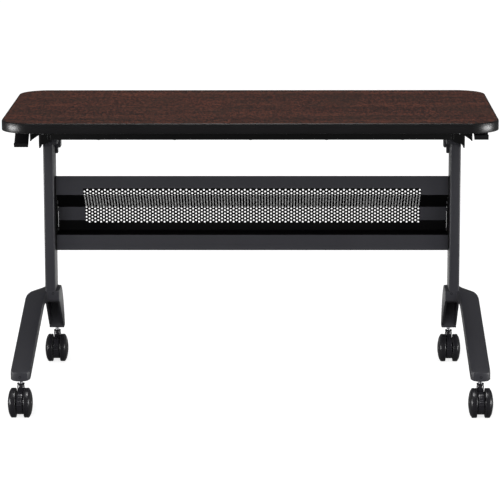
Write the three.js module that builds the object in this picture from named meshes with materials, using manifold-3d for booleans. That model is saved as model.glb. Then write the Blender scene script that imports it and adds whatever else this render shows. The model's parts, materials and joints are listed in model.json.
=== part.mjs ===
// Flip top training table: a laminated top on a folding hinge, two columns on arched feet,
// a folded cable trough between the columns, and four braked twin-wheel casters.
// Millimetres. X runs along the table, Y from the user's side to the back, Z up from the floor.
import * as THREE from "three";
import { mergeVertices } from "three/addons/utils/BufferGeometryUtils.js";
import Module from "manifold-3d";

const wasm = await Module();
wasm.setup();

// Clearances between pieces
const seatGap = 0.3; // between pieces that touch
const runGap = 0.4; // round a turning or sliding pin

// Table top
const tableHeight = 736;
const topLength = 1219;
const topDepth = 610;
const topThickness = 25;
const topCornerRadius = 75;
const edgeBandWidth = 3;
const edgeBandArris = 2;
const laminateThickness = 1;
const backingThickness = 1;

// Columns
const columnInset = 78; // from the end of the top to the column's middle
const columnWidth = 27;
const columnDepth = 88;
const columnRearInset = 96; // from the rear edge of the top to the column's middle
const columnWall = 2.5;
const columnCorner = 4;
const columnTopDrop = 99; // below the underside of the top

// Flip hinge
const pivotDrop = 66; // below the underside of the top
const knuckleRadius = 38;
const shoulderTaper = 0.94; // width of the shoulder at the pivot, in knuckles
const headOverhang = 10.5; // how far the head stands inboard of its column
const headNeckLength = 50;
const bossWidth = 15;
const bossDepth = 38;
const bossHeight = 25;
const lugWidth = 7;
const lugHeight = 17;
const lugFrontShare = 0.7; // the lug's span on the boss, from the back
const lugRearShare = 0.1;
const pivotRadius = 6;
const boltHeadRadius = 11;
const boltHeadLength = 7;
const nutLength = 7;
const cheekGap = 5; // between the column's line and the outer cheek
const cheekThickness = 3;
const cheekFrontReach = 69; // from the pivot to the bracket's front web
const cheekRearReach = 41;
const cheekDrop = 40; // how far the outer cheek hangs below the pivot
const cheekChamfer = 8;
const flangeOverlap = 22; // screw flange outside the outer cheek

// Arms, cross rail and torsion tube under the top
const armThickness = 6.5;
const armHeight = 42;
const armFrontInset = 177; // from the front edge of the top
const armRearReach = 13;
const armEyeRadius = 22;
const railWidth = 30;
const railWall = 2;
const torsionRadius = 16;
const torsionWall = 3;

// Release gear
const paddleEndInset = 47; // from the end of the top
const paddleWidth = 36;
const paddleShaftInset = 315; // from the front edge of the top
const paddleShaftDrop = 21; // below the underside of the top
const paddleShaftRadius = 5;
const paddleHubRadius = 9;
const paddleReach = 77;
const paddleThickness = 4;
const paddleLip = 9;
const paddleDroop = { left: 38, right: 21 }; // degrees below level, as each one hangs
const paddleSideGap = 1;
const releasePlate = 3;
const releaseEarHeight = 63;
const releaseEarDepth = 46;
const releaseTipHeight = 28; // height of the gusset at its inboard end
const crankRadius = 18;
const crankThickness = 5;
const crankPinRadius = 2.5;
const rodRadius = 4;
const rodEyeThickness = 4;
const rodEyeHalf = 9;
const rodInset = 5; // rod centre, outboard from half way across the hinge head
const boltNoseRadius = 6;
const boltNoseLength = 23;
const notchDepth = 8;

// Feet
const footUndersideZ = 92;
const footNoseInset = 2; // behind the front edge of the top
const footRearOverhang = 33; // beyond the rear edge of the top
const footNoseHeight = 22;
const footCrownZ = 221;
const footHubHeight = 25;
const frontLegOffset = 38; // outboard of the column's middle
const frontLegWidth = 49.5;
const frontLegBendAhead = 35; // where the front leg bends, before and behind the column's front
const frontLegBendBehind = 87;
const frontLegArch = 0.04; // how far the front leg's top bows above a straight line
const frontLegArchPower = 6;
const frontLegSpacing = 2; // sections crowd toward the nose
const heelRoundPower = 1.4; // fullness of the heel's curve
const heelHubWidth = 38;
const heelEndWidth = 39;
const heelPadDepth = 33;
const heelPadHeight = 12;
const heelEdgeRound = 4;
const footEdgeRound = 5;
const footWall = 5;

// Cable trough
const troughSetback = 38; // behind the column's front
const troughDepth = 67;
const troughTopDrop = 91; // below the top of the column
const upperFlangeHeight = 49;
const slopeDrop = 44;
const troughFloorDrop = 156; // below the top of the trough
const lowerFlangeHeight = 41;
const hemDepth = 10;
const panelThickness = 1.2;
const endPlateThickness = 2;
const screwHeadRadius = 4.5;
const screwHeadHeight = 3;
const screwRadius = 2.2;
const screwLength = 10;
const screwOffsets = [[19, 72], [35, 94], [39, 147]]; // behind the trough's front, below its top

// Casters
const wheelRadius = 37.5;
const wheelWidth = 21.5;
const wheelDome = 4;
const wheelTreadRound = 4;
const wheelDomeShare = 0.6; // how far out the dome bends
const wheelSocketShare = 0.8; // depth of the axle's socket
const axleShare = 0.6; // how far the axle enters the wheel
const casterWidth = 62;
const casterTrail = 23;
const frontStemOffset = 0.5; // outboard of the front leg's middle
const rearStemOffset = 3.5; // inboard of the column's middle
const frontStemSetback = 25; // behind the nose of the foot
const rearStemInset = 14; // ahead of the end of the heel
const hoodRadius = 29;
const hoodSideGap = 1;
const axleRadius = 4;
const swivelBossRadius = 9.5;
const swivelBossTopZ = 82;
const swivelNeckShare = 0.6; // how far the neck runs under the boss
const stemRadius = 5;
const stemInHood = 26;
const stemInFoot = 15;
const pedalThickness = 6;
const pedalStart = 118; // degrees round the axle, from the back
const pedalSweep = 62;

// Sizes that follow from those above
const undersideZ = tableHeight - topThickness;
const columnTopZ = undersideZ - columnTopDrop;
const pivotZ = undersideZ - pivotDrop;
const columnCentreX = topLength / 2 - columnInset;
const columnCentreY = topDepth / 2 - columnRearInset;
const columnInnerX = columnCentreX - columnWidth / 2;
const columnOuterX = columnCentreX + columnWidth / 2;
const columnFrontY = columnCentreY - columnDepth / 2;
const headInnerX = columnInnerX - headOverhang;
const armFrontY = armFrontInset - topDepth / 2;
const armOuterX = headInnerX - runGap;
const armInnerX = armOuterX - armThickness;
const cheekInnerX = columnOuterX + cheekGap;
const cheekOuterX = cheekInnerX + cheekThickness;
const rodX = (headInnerX + columnOuterX) / 2 + rodInset;
const paddleInnerX = topLength / 2 - paddleEndInset;
const paddleShaftY = paddleShaftInset - topDepth / 2;
const paddleShaftZ = undersideZ - paddleShaftDrop;
const rodZ = paddleShaftZ - crankRadius;
const footNoseY = footNoseInset - topDepth / 2;
const footRearY = topDepth / 2 + footRearOverhang;
const frontLegX = columnCentreX + frontLegOffset;
const frontLegBendStart = columnFrontY - frontLegBendAhead;
const frontLegBendEnd = columnFrontY + frontLegBendBehind;
const frontStemX = frontLegX + frontStemOffset;
const rearStemX = columnCentreX - rearStemOffset;
const frontStemY = footNoseY + frontStemSetback;
const rearStemY = footRearY - rearStemInset;
const nosePadEnd = footNoseY + 2 * frontStemSetback;
const troughFrontY = columnFrontY + troughSetback;
const troughTopZ = columnTopZ - troughTopDrop;
const troughFloorZ = troughTopZ - troughFloorDrop;
const screwPlaces = screwOffsets.map(([back, down]) => [troughFrontY + back, troughTopZ - down]);
const wheelInset = (casterWidth - 2 * wheelWidth) / 2;
const hoodWidth = 2 * (wheelInset - hoodSideGap);

// Finishes
function finish(color, roughness, metalness) {
  return new THREE.MeshStandardMaterial({ color, roughness, metalness });
}
const laminateFinish = finish(0x4c322c, 0.45, 0);
const boardFinish = finish(0x8a6a48, 0.85, 0);
const backingFinish = finish(0x1c1a1a, 0.7, 0);
const bandFinish = finish(0x19181a, 0.4, 0);
const coatFinish = finish(0x39393e, 0.5, 0.3);
const blackSteelFinish = finish(0x161618, 0.55, 0.3);
const zincFinish = finish(0xb4b4b8, 0.4, 0.9);
const paddleFinish = finish(0x101012, 0.5, 0);
const wheelFinish = finish(0x141416, 0.35, 0);
const hoodFinish = finish(0x18181b, 0.3, 0);

// Joining and cutting
function solid(geometry) {
  const bare = new THREE.BufferGeometry();
  const plain = geometry.index ? geometry.toNonIndexed() : geometry;
  bare.setAttribute("position", plain.getAttribute("position"));
  const merged = mergeVertices(bare, 1e-4);
  return new wasm.Manifold(new wasm.Mesh({
    numProp: 3,
    vertProperties: merged.getAttribute("position").array,
    triVerts: new Uint32Array(merged.index.array),
  }));
}

function geometryOf(manifold) {
  const mesh = manifold.getMesh();
  const geometry = new THREE.BufferGeometry();
  geometry.setAttribute("position", new THREE.BufferAttribute(mesh.vertProperties, 3));
  geometry.setIndex(new THREE.BufferAttribute(mesh.triVerts, 1));
  return geometry.toNonIndexed();
}

function combine(added, removed = []) {
  let body = solid(added[0]);
  for (const piece of added.slice(1)) {
    body = body.add(solid(piece));
  }
  for (const piece of removed) {
    body = body.subtract(solid(piece));
  }
  return geometryOf(body);
}

// Basic shapes
function box(x0, x1, y0, y1, z0, z1) {
  const geometry = new THREE.BoxGeometry(x1 - x0, y1 - y0, z1 - z0);
  return geometry.translate((x0 + x1) / 2, (y0 + y1) / 2, (z0 + z1) / 2);
}

function rodAlongX(radius, x0, x1, y, z, sides = 14) {
  const geometry = new THREE.CylinderGeometry(radius, radius, x1 - x0, sides);
  return geometry.rotateZ(-Math.PI / 2).translate((x0 + x1) / 2, y, z);
}

function rodAlongY(radius, y0, y1, x, z, sides = 12) {
  const geometry = new THREE.CylinderGeometry(radius, radius, y1 - y0, sides);
  return geometry.translate(x, (y0 + y1) / 2, z);
}

function rodAlongZ(radius, z0, z1, x, y, sides = 14) {
  const geometry = new THREE.CylinderGeometry(radius, radius, z1 - z0, sides);
  return geometry.rotateX(Math.PI / 2).translate(x, y, (z0 + z1) / 2);
}

function roundedRectangle(halfX, halfY, radius) {
  const shape = new THREE.Shape();
  shape.moveTo(halfX - radius, -halfY);
  shape.absarc(halfX - radius, -halfY + radius, radius, -Math.PI / 2, 0);
  shape.absarc(halfX - radius, halfY - radius, radius, 0, Math.PI / 2);
  shape.absarc(-halfX + radius, halfY - radius, radius, Math.PI / 2, Math.PI);
  shape.absarc(-halfX + radius, -halfY + radius, radius, Math.PI, Math.PI * 1.5);
  shape.closePath();
  return shape;
}

function slab(shape, z0, z1, curveSegments = 7) {
  const geometry = new THREE.ExtrudeGeometry(shape, { depth: z1 - z0, bevelEnabled: false, curveSegments });
  return geometry.translate(0, 0, z0);
}

// A side profile drawn as Y across and Z up, drawn out along X
function sidePlate(shape, x0, x1, curveSegments = 10) {
  const geometry = new THREE.ExtrudeGeometry(shape, { depth: x1 - x0, bevelEnabled: false, curveSegments });
  const turn = new THREE.Matrix4().set(0, 0, 1, x0, 1, 0, 0, 0, 0, 1, 0, 0, 0, 0, 0, 1);
  return geometry.applyMatrix4(turn);
}

// A front profile drawn as X across and Z up, drawn out along Y
function frontPlate(shape, y0, y1) {
  const geometry = new THREE.ExtrudeGeometry(shape, { depth: y1 - y0, bevelEnabled: false });
  return geometry.rotateX(Math.PI / 2).translate(0, y1, 0);
}

function polygon(points) {
  return new THREE.Shape(points.map(([u, v]) => new THREE.Vector2(u, v)));
}

function node(name, geometry, material) {
  const mesh = new THREE.Mesh(geometry, material);
  mesh.name = name;
  return mesh;
}

// Top: board, laminate and backing inside a moulded edge band
function coreOutline(grow = 0) {
  const inset = edgeBandWidth + seatGap - grow;
  return roundedRectangle(topLength / 2 - inset, topDepth / 2 - inset, topCornerRadius - inset);
}

function edgeBandGeometry() {
  const ring = coreOutline(seatGap).getPoints(7);
  const outer = roundedRectangle(topLength / 2 - edgeBandArris, topDepth / 2 - edgeBandArris,
    topCornerRadius - edgeBandArris);
  const body = new THREE.ExtrudeGeometry(outer, {
    depth: topThickness - 2 * edgeBandArris,
    bevelThickness: edgeBandArris,
    bevelSize: edgeBandArris,
    bevelSegments: 2,
    curveSegments: 7,
  }).translate(0, 0, undersideZ + edgeBandArris);
  const hole = slab(new THREE.Shape(ring), undersideZ - topThickness, tableHeight + topThickness);
  return combine([body], [hole]);
}

function makeTop(group) {
  const laminateZ = tableHeight - laminateThickness;
  const boardZ = undersideZ + backingThickness;
  group.add(node("backing_sheet", slab(coreOutline(), undersideZ, boardZ), backingFinish));
  group.add(node("core_board", slab(coreOutline(), boardZ, laminateZ), boardFinish));
  group.add(node("top_laminate", slab(coreOutline(), laminateZ, tableHeight), laminateFinish));
  group.add(node("edge_band", edgeBandGeometry(), bandFinish));

  const railZ = undersideZ - armHeight;
  const railEnd = armInnerX - seatGap;
  const railBox = box(-railEnd, railEnd, armFrontY, armFrontY + railWidth, railZ, undersideZ - seatGap);
  const railHole = box(-topLength, topLength, armFrontY + railWall, armFrontY + railWidth - railWall,
    railZ + railWall, undersideZ - seatGap - railWall);
  group.add(node("cross_rail", combine([railBox], [railHole]), blackSteelFinish));

  const tubeEnd = armInnerX - seatGap;
  const tube = rodAlongX(torsionRadius, -tubeEnd, tubeEnd, columnCentreY, pivotZ, 20);
  const tubeBore = rodAlongX(torsionRadius - torsionWall, -topLength, topLength, columnCentreY, pivotZ, 20);
  group.add(node("torsion_tube", combine([tube], [tubeBore]), blackSteelFinish));
}

// Hinge: the arm is the inner cheek, the folded bracket the outer one
function supportArm() {
  const bottomZ = undersideZ - armHeight;
  const rearY = columnCentreY + armRearReach;
  const bar = box(armInnerX, armOuterX, armFrontY, rearY, bottomZ, undersideZ - seatGap);
  const eye = rodAlongX(armEyeRadius, armInnerX, armOuterX, columnCentreY, pivotZ, 20);
  const web = box(armInnerX, armOuterX, columnCentreY - armEyeRadius, rearY, pivotZ, bottomZ + railWall);
  const hole = rodAlongX(pivotRadius + seatGap, 0, topLength, columnCentreY, pivotZ);
  return combine([bar, eye, web], [hole]);
}

function flipBracket() {
  const frontY = columnCentreY - cheekFrontReach;
  const rearY = columnCentreY + cheekRearReach;
  const bottomZ = pivotZ - cheekDrop;
  const roofZ = undersideZ - seatGap;
  const cheek = sidePlate(polygon([
    [frontY, roofZ],
    [frontY, bottomZ + cheekChamfer],
    [frontY + cheekChamfer, bottomZ],
    [columnCentreY - cheekChamfer, bottomZ],
    [rearY, pivotZ - cheekChamfer],
    [rearY, roofZ],
  ]), cheekInnerX, cheekOuterX);
  const webInnerX = headInnerX + runGap;
  const web = frontPlate(polygon([
    [webInnerX, roofZ],
    [webInnerX, bottomZ + 2 * cheekChamfer + cheekDrop / 2],
    [cheekOuterX - columnWidth, bottomZ + 2 * cheekChamfer],
    [cheekOuterX, bottomZ + cheekChamfer],
    [cheekOuterX, roofZ],
  ]), frontY, frontY + cheekThickness);
  const flange = box(webInnerX, cheekOuterX + flangeOverlap, frontY, rearY, roofZ - cheekThickness, roofZ);
  const pivotHole = rodAlongX(pivotRadius + seatGap, 0, topLength, columnCentreY, pivotZ);
  const rodHole = rodAlongY(rodRadius + runGap, frontY - 1, columnFrontY, rodX, rodZ);
  return combine([cheek, web, flange], [pivotHole, rodHole]);
}

function pivotBolt() {
  const headX = cheekOuterX + seatGap;
  const nutX = armInnerX - seatGap;
  const shank = rodAlongX(pivotRadius, nutX - nutLength, headX + boltHeadLength / 2, columnCentreY, pivotZ);
  const head = rodAlongX(boltHeadRadius, headX, headX + boltHeadLength, columnCentreY, pivotZ, 6);
  const nut = rodAlongX(boltHeadRadius, nutX - nutLength, nutX, columnCentreY, pivotZ, 6);
  return combine([shank, head, nut]);
}

function hingeHead() {
  const seatZ = columnTopZ + seatGap;
  const rearY = columnCentreY + columnDepth / 2;
  const drum = rodAlongX(knuckleRadius, headInnerX, columnOuterX, columnCentreY, pivotZ, 28);
  const belowSeat = box(headInnerX - 1, columnOuterX + 1, columnFrontY, rearY,
    pivotZ - 2 * knuckleRadius, seatZ);
  const knuckle = combine([drum], [belowSeat]);
  const shoulder = sidePlate(polygon([
    [columnFrontY, seatZ],
    [rearY, seatZ],
    [columnCentreY + knuckleRadius * shoulderTaper, pivotZ],
    [columnCentreY - knuckleRadius * shoulderTaper, pivotZ],
  ]), headInnerX, columnOuterX);
  const inset = columnCorner - columnWall / 4;
  const neck = box(columnInnerX + inset, columnOuterX - inset, columnFrontY + inset, rearY - inset,
    seatZ - headNeckLength, seatZ + 1);
  const bossTopZ = pivotZ - armEyeRadius - 2;
  const bossX = columnInnerX - bossWidth;
  const sideX = columnInnerX - seatGap;
  const boss = box(bossX, sideX, rearY - bossDepth, rearY, bossTopZ - bossHeight, bossTopZ);
  const lug = box(columnInnerX - lugWidth, sideX, rearY - bossDepth * lugFrontShare,
    rearY - bossDepth * lugRearShare, bossTopZ - bossHeight - lugHeight, bossTopZ - 1);
  const bore = rodAlongX(pivotRadius + runGap, 0, topLength, columnCentreY, pivotZ);
  const notchHalf = boltNoseRadius + 2 * runGap;
  const latchRise = rodZ - pivotZ;
  const mouth = Math.sqrt(knuckleRadius ** 2 - (latchRise - notchHalf) ** 2);
  const levelY = columnCentreY - mouth;
  const levelNotch = box(rodX - notchHalf, rodX + notchHalf, levelY - notchDepth, levelY + notchDepth,
    rodZ - notchHalf, rodZ + notchHalf);
  const raisedY = columnCentreY + latchRise;
  const raisedNotch = box(rodX - notchHalf, rodX + notchHalf, raisedY - notchHalf, raisedY + notchHalf,
    pivotZ + mouth - notchDepth, pivotZ + mouth + notchDepth);
  return combine([knuckle, shoulder, neck, boss, lug], [bore, levelNotch, raisedNotch]);
}

// Release gear
function releaseBracket() {
  const roofZ = undersideZ - seatGap;
  const earX = paddleInnerX - paddleSideGap - releasePlate;
  const innerX = rodX - crankThickness - rodEyeThickness - 4 * releasePlate;
  const rearY = paddleShaftY + releaseEarDepth / 2;
  const frontY = paddleShaftY - releaseEarDepth / 2;
  const tipZ = undersideZ - releaseEarHeight;
  const plate = box(innerX, earX + releasePlate, frontY, rearY, roofZ - releasePlate, roofZ);
  const ear = box(earX, earX + releasePlate, frontY, rearY, tipZ, roofZ);
  const innerEar = box(innerX, innerX + releasePlate, frontY, rearY,
    paddleShaftZ - 3 * paddleShaftRadius, roofZ);
  const gusset = frontPlate(polygon([
    [earX + releasePlate, roofZ],
    [innerX, roofZ],
    [innerX, undersideZ - releaseTipHeight],
    [earX + releasePlate, tipZ],
  ]), frontY, frontY + releasePlate);
  const hole = rodAlongX(paddleShaftRadius + runGap, 0, topLength, paddleShaftY, paddleShaftZ);
  return combine([plate, ear, innerEar, gusset], [hole]);
}

// Drawn about the shaft's axis, with the blade pointing to the user
function releasePaddle() {
  const half = paddleThickness / 2;
  const blade = sidePlate(polygon([
    [0, half],
    [-paddleReach, half],
    [-paddleReach, half + paddleLip],
    [-paddleReach - paddleThickness, half + paddleLip],
    [-paddleReach - paddleThickness, -half],
    [0, -half],
  ]), 0, paddleWidth);
  const hub = rodAlongX(paddleHubRadius, 0, paddleWidth, 0, 0);
  const bore = rodAlongX(paddleShaftRadius + seatGap, -1, paddleWidth + 1, 0, 0);
  return combine([blade, hub], [bore]);
}

function paddleShaft() {
  const innerX = rodX - crankThickness - rodEyeThickness - 5 * releasePlate;
  const crankX = rodX + rodEyeThickness / 2 + runGap;
  const shaft = rodAlongX(paddleShaftRadius, innerX, paddleInnerX + paddleWidth, paddleShaftY, paddleShaftZ);
  const arm = box(crankX, crankX + crankThickness, paddleShaftY - paddleShaftRadius,
    paddleShaftY + paddleShaftRadius, rodZ - 2 * crankPinRadius, paddleShaftZ);
  const pin = rodAlongX(crankPinRadius, rodX - rodEyeThickness, crankX + 1, paddleShaftY, rodZ, 10);
  return combine([shaft, arm, pin]);
}

function latchBolt() {
  const mouth = Math.sqrt(knuckleRadius ** 2 - (rodZ - pivotZ - boltNoseRadius) ** 2);
  const noseY = columnCentreY - mouth - 1.5 * runGap;
  const rod = rodAlongY(rodRadius, paddleShaftY + rodEyeHalf - 1, noseY - 1, rodX, rodZ);
  const nose = rodAlongY(boltNoseRadius, noseY - boltNoseLength, noseY, rodX, rodZ);
  const half = rodEyeThickness / 2;
  const eye = box(rodX - half, rodX + half, paddleShaftY - rodEyeHalf, paddleShaftY + rodEyeHalf,
    rodZ - rodEyeHalf, rodZ + rodEyeHalf);
  const slotHalf = crankPinRadius + runGap;
  const slot = box(rodX - rodRadius, rodX + rodRadius, paddleShaftY - slotHalf, paddleShaftY + slotHalf,
    rodZ - 2 * slotHalf, rodZ + 2 * slotHalf);
  return combine([rod, nose, eye], [slot]);
}

// Columns
function column() {
  const tube = roundedRectangle(columnWidth / 2, columnDepth / 2, columnCorner);
  const bore = roundedRectangle(columnWidth / 2 - columnWall, columnDepth / 2 - columnWall,
    columnCorner - columnWall);
  const length = columnTopZ - footCrownZ;
  const body = slab(tube, footCrownZ + seatGap, columnTopZ, 3);
  const hollow = slab(bore, footCrownZ - length, columnTopZ + length, 3);
  const at = (g) => g.translate(columnCentreX, columnCentreY, 0);
  const holes = screwPlaces.map(([y, z]) =>
    rodAlongX(screwRadius + seatGap, columnInnerX - 1, columnCentreX, y, z, 10));
  return combine([at(body)], [at(hollow), ...holes]);
}

// Feet: sections across Y, each a block with a rounded upper edge, skinned one to the next
function loft(sections) {
  const count = sections[0].length;
  const positions = [];
  const corner = (i, k) => sections[i][(k + count) % count];
  const triangle = (a, b, c) => positions.push(...a, ...b, ...c);
  for (let i = 0; i + 1 < sections.length; i++) {
    for (let k = 0; k < count; k++) {
      triangle(corner(i, k), corner(i, k + 1), corner(i + 1, k + 1));
      triangle(corner(i, k), corner(i + 1, k + 1), corner(i + 1, k));
    }
  }
  const last = sections.length - 1;
  for (let k = 1; k + 1 < count; k++) {
    triangle(corner(0, 0), corner(0, k + 1), corner(0, k));
    triangle(corner(last, 0), corner(last, k), corner(last, k + 1));
  }
  const geometry = new THREE.BufferGeometry();
  geometry.setAttribute("position", new THREE.Float32BufferAttribute(positions, 3));
  return geometry;
}

function section(y, centre, width, bottom, top, round) {
  const half = width / 2;
  const points = [[centre - half, y, bottom]];
  const steps = 2;
  for (const side of [-1, 1]) {
    for (let i = 0; i <= steps; i++) {
      const angle = (i / steps) * Math.PI / 2;
      const across = side < 0 ? Math.cos(angle) : Math.sin(angle);
      const up = side < 0 ? Math.sin(angle) : Math.cos(angle);
      points.push([centre + side * (half - round + round * across), y, top - round + round * up]);
    }
  }
  points.push([centre + half, y, bottom]);
  return points;
}

const mix = (a, b, t) => a + (b - a) * t;
const smooth = (t) => t * t * (3 - 2 * t);
const between = (y, start, end) => Math.min(1, Math.max(0, (y - start) / (end - start)));

function frontLegCentre(y) {
  return mix(frontLegX, columnCentreX, smooth(between(y, frontLegBendStart, frontLegBendEnd)));
}

function frontLegTop(y) {
  const noseZ = footUndersideZ + footNoseHeight;
  const t = between(y, footNoseY, columnFrontY);
  const rise = footCrownZ - noseZ;
  return noseZ + rise * Math.min(1, (1 + frontLegArch) * t - frontLegArch * t ** frontLegArchPower);
}

function frontLegBottom(y) {
  const depth = mix(footNoseHeight, footHubHeight, between(y, nosePadEnd, columnFrontY));
  return Math.max(footUndersideZ, frontLegTop(y) - depth);
}

function frontLegWidthAt(y) {
  return mix(frontLegWidth, heelHubWidth, smooth(between(y, frontLegBendStart, frontLegBendEnd)));
}

// The nose is half round in plan at its corners
function noseWidth(y) {
  const round = frontLegWidth / 3;
  const back = Math.min(y - footNoseY, round);
  return 2 * (Math.sqrt(Math.max(0, round ** 2 - (round - back) ** 2)) - round);
}

// Places of the sections: crowded toward the nose, then even through the bend
function frontLegStations(startY, endY) {
  const straightSteps = 12;
  const bendSteps = 10;
  const stations = [];
  for (let i = 0; i < straightSteps; i++) {
    stations.push(mix(startY, frontLegBendStart, (i / straightSteps) ** frontLegSpacing));
  }
  for (let i = 0; i <= bendSteps; i++) {
    stations.push(mix(frontLegBendStart, endY, i / bendSteps));
  }
  return stations;
}

function frontLegSections(inset, startY, endY, drop) {
  return frontLegStations(startY, endY).map((y) => {
    const width = frontLegWidthAt(y) - 2 * inset + (inset ? 0 : noseWidth(y));
    const bottom = frontLegBottom(y) - drop;
    return section(y, frontLegCentre(y), width, bottom, frontLegTop(y) - inset, footEdgeRound);
  });
}

function heelTop(y) {
  const start = columnCentreY + columnDepth / 2;
  const t = between(y, start, footRearY);
  const lowest = footUndersideZ + heelPadHeight - heelEdgeRound;
  return lowest + (footCrownZ - lowest) * (1 - t ** heelRoundPower) ** (1 / heelRoundPower);
}

function heelBottom(y) {
  const padTop = footUndersideZ + heelPadHeight;
  const hubZ = footCrownZ - footHubHeight;
  const slopeStart = columnFrontY + footHubHeight / 2;
  return mix(hubZ, padTop - heelEdgeRound * 2, between(y, slopeStart, footRearY - heelPadDepth));
}

function heelWidth(y) {
  return mix(heelHubWidth, heelEndWidth, between(y, columnCentreY, footRearY - heelPadDepth));
}

function heelSections(inset, startY, endY, drop) {
  const steps = 11;
  const rows = [];
  for (let i = 0; i <= steps; i++) {
    const y = mix(startY, endY, Math.sin((i / steps) * Math.PI / 2));
    const top = heelTop(y) - inset;
    const bottom = Math.min(heelBottom(y), top - 2 * heelEdgeRound) - drop;
    rows.push(section(y, rearStemX, heelWidth(y) - 2 * inset, bottom, top, heelEdgeRound));
  }
  return rows;
}

function foot() {
  const frontLeg = loft(frontLegSections(0, footNoseY, frontLegBendEnd, 0));
  const heel = loft(heelSections(0, columnFrontY, footRearY, 0));
  const padHalf = heelEndWidth / 2;
  const pad = box(rearStemX - padHalf, rearStemX + padHalf, footRearY - heelPadDepth, footRearY,
    footUndersideZ, footUndersideZ + heelPadHeight);
  const deep = footHubHeight * 2;
  const frontHollow = loft(frontLegSections(footWall, nosePadEnd, columnFrontY - footHubHeight, deep));
  const heelHollow = loft(heelSections(footWall, columnFrontY + footHubHeight,
    footRearY - heelPadDepth, deep));
  const stemHole = stemRadius + seatGap;
  const stemTop = footUndersideZ + stemInFoot + seatGap;
  const holes = [[frontStemX, frontStemY], [rearStemX, rearStemY]].map(([x, y]) =>
    rodAlongZ(stemHole, footUndersideZ - 1, stemTop, x, y));
  return combine([frontLeg, heel, pad], [frontHollow, heelHollow, ...holes]);
}

// Cable trough, one folded sheet with a hem along each edge
function troughLine() {
  const backY = troughFrontY + troughDepth;
  const upperZ = troughTopZ - upperFlangeHeight;
  const lowestZ = troughFloorZ - lowerFlangeHeight;
  return [
    [troughFrontY + hemDepth, troughTopZ],
    [troughFrontY, troughTopZ],
    [troughFrontY, upperZ],
    [backY, upperZ - slopeDrop],
    [backY, troughFloorZ],
    [troughFrontY, troughFloorZ],
    [troughFrontY, lowestZ],
    [troughFrontY + hemDepth, lowestZ],
  ].map(([y, z]) => new THREE.Vector2(y, z));
}

// The same line moved sideways by a sheet's thickness
function offsetLine(line, distance) {
  const left = (a, b) => new THREE.Vector2(a.y - b.y, b.x - a.x).normalize();
  return line.map((point, i) => {
    const before = i > 0 ? left(line[i - 1], point) : left(point, line[i + 1]);
    const after = i + 1 < line.length ? left(point, line[i + 1]) : before;
    const mean = before.clone().add(after).normalize();
    return point.clone().addScaledVector(mean, distance / mean.dot(before));
  });
}

function troughPanel() {
  const line = troughLine();
  const inner = offsetLine(line, panelThickness);
  const half = columnInnerX - endPlateThickness - 2 * seatGap;
  return sidePlate(new THREE.Shape([...line, ...inner.reverse()]), -half, half);
}

function troughEndPlate() {
  const line = troughLine();
  const outline = [line[0], line[1], line[6], line[7], line[4], line[3]];
  const plate = sidePlate(new THREE.Shape(outline), columnInnerX - seatGap - endPlateThickness,
    columnInnerX - seatGap);
  const holes = screwPlaces.map(([y, z]) => rodAlongX(screwRadius + seatGap, 0, topLength, y, z, 10));
  return combine([plate], holes);
}

function panelScrew([y, z]) {
  const seatX = columnInnerX - endPlateThickness - 2 * seatGap;
  const head = rodAlongX(screwHeadRadius, seatX - screwHeadHeight, seatX, y, z, 10);
  const shank = rodAlongX(screwRadius, seatX - 1, seatX + screwLength, y, z, 10);
  return combine([head, shank]);
}

// Casters, drawn about the swivel axis at floor level, wheels trailing to the user's side
function casterWheel() {
  const profile = new THREE.Shape();
  profile.moveTo(0, wheelWidth + wheelDome);
  profile.quadraticCurveTo(wheelRadius * wheelDomeShare, wheelWidth + wheelDome * wheelSocketShare,
    wheelRadius - wheelTreadRound, wheelWidth - wheelDome);
  profile.lineTo(wheelRadius, wheelWidth - wheelDome - wheelTreadRound);
  profile.lineTo(wheelRadius, wheelTreadRound / 2);
  profile.lineTo(wheelRadius - wheelTreadRound / 2, 0);
  profile.lineTo(axleRadius + runGap, 0);
  profile.lineTo(axleRadius + runGap, wheelWidth * wheelSocketShare);
  profile.lineTo(0, wheelWidth * wheelSocketShare);
  const points = profile.getPoints(3).reverse();
  const wheel = new THREE.LatheGeometry(points, 22);
  const middle = wheelWidth + wheelDome;
  return wheel.scale(1, wheelWidth / middle, 1).rotateZ(-Math.PI / 2);
}

function casterHood() {
  const half = hoodWidth / 2;
  const drum = rodAlongX(hoodRadius, -half, half, -casterTrail, wheelRadius, 24);
  const neck = box(-half, half, -casterTrail, swivelBossRadius * swivelNeckShare,
    wheelRadius, wheelRadius + hoodRadius);
  const boss = rodAlongZ(swivelBossRadius, wheelRadius, swivelBossTopZ, 0, 0);
  const axleEnd = wheelInset + wheelWidth * axleShare;
  const axle = rodAlongX(axleRadius, -axleEnd, axleEnd, -casterTrail, wheelRadius, 12);
  const stemHole = rodAlongZ(stemRadius + runGap, swivelBossTopZ - stemInHood - seatGap,
    swivelBossTopZ + 1, 0, 0);
  return combine([drum, neck, boss, axle], [stemHole]);
}

function casterStem() {
  return rodAlongZ(stemRadius, swivelBossTopZ - stemInHood, footUndersideZ + stemInFoot, 0, 0);
}

function brakePedal() {
  const inner = hoodRadius + runGap;
  const outer = inner + pedalThickness;
  const start = THREE.MathUtils.degToRad(pedalStart);
  const end = THREE.MathUtils.degToRad(pedalStart + pedalSweep);
  const shape = new THREE.Shape();
  shape.absarc(-casterTrail, wheelRadius, outer, start, end);
  shape.absarc(-casterTrail, wheelRadius, inner, end, start, true);
  shape.closePath();
  const half = hoodWidth / 2;
  return sidePlate(shape, -half, half, 7);
}

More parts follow.
